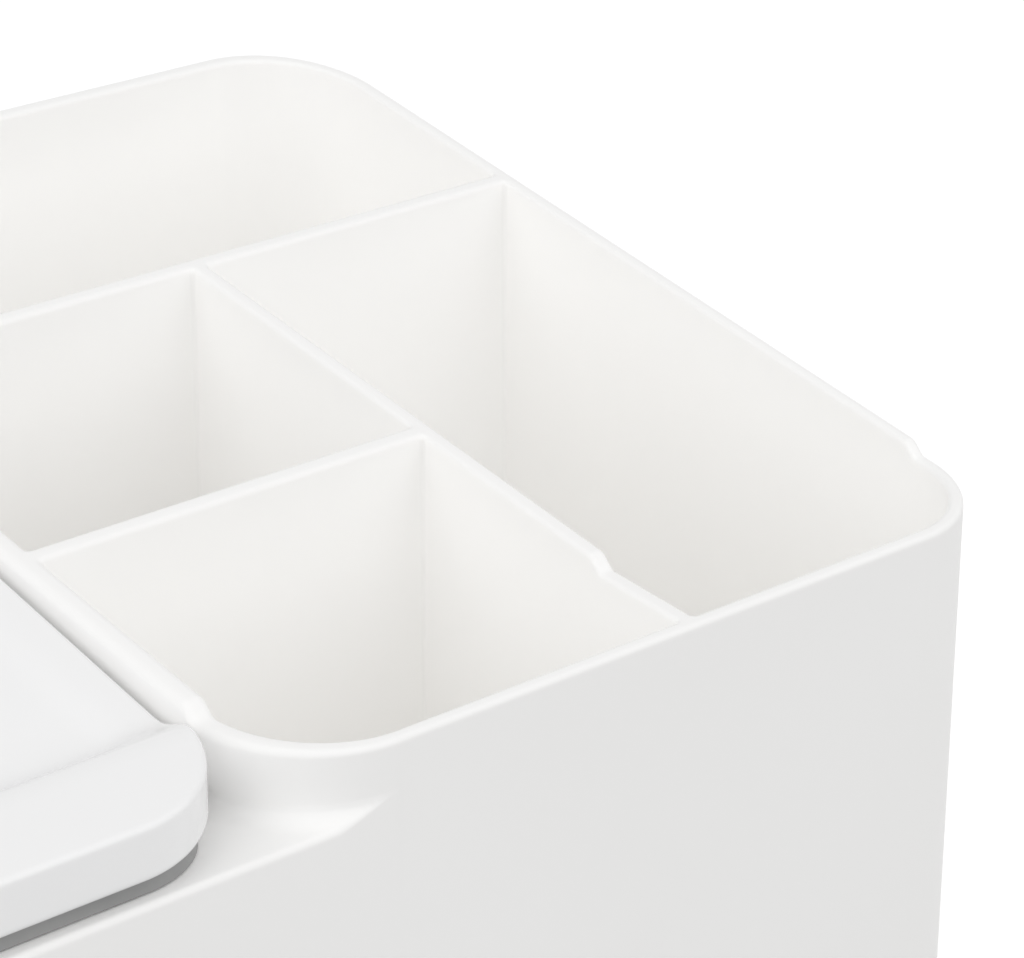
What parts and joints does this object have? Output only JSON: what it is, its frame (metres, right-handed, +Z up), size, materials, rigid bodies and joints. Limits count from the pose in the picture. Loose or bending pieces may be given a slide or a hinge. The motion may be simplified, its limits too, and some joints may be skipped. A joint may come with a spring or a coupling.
{
  "type": "desk organizer with lift lid",
  "caption": "Moulded desk organizer with a sloping rim: open bays, a full-width rear slot and a hinged lid over a front well.",
  "frame": {"origin": "on the desk, at the middle of the footprint", "axes": "+Z up, +X to the right along the width, the low front rim towards -Y"},
  "size_m": [0.22, 0.1347, 0.1119],
  "materials": {
    "white_plastic": "satin",
    "grey_seal": "matte",
    "foot_rubber": "matte",
    "steel": "satin"
  },
  "bodies": {
    "base": {"body_shell": "white_plastic", "base_plate": "white_plastic", "base_screws": "steel", "foot_front_left": "foot_rubber", "foot_front_right": "foot_rubber", "foot_rear_left": "foot_rubber", "foot_rear_right": "foot_rubber", "hinge_rod": "steel"},
    "lid": {"lid_top": "white_plastic", "lid_liner": "white_plastic", "lid_seal": "grey_seal"}
  },
  "joints": [
    {"name": "lid_hinge", "type": "hinge", "parent": "base", "child": "lid", "pos_m": [-0.0555, 0.0185, 0.09887], "axis": [-1, 0, 0], "range_deg": [0, 107]}
  ]
}
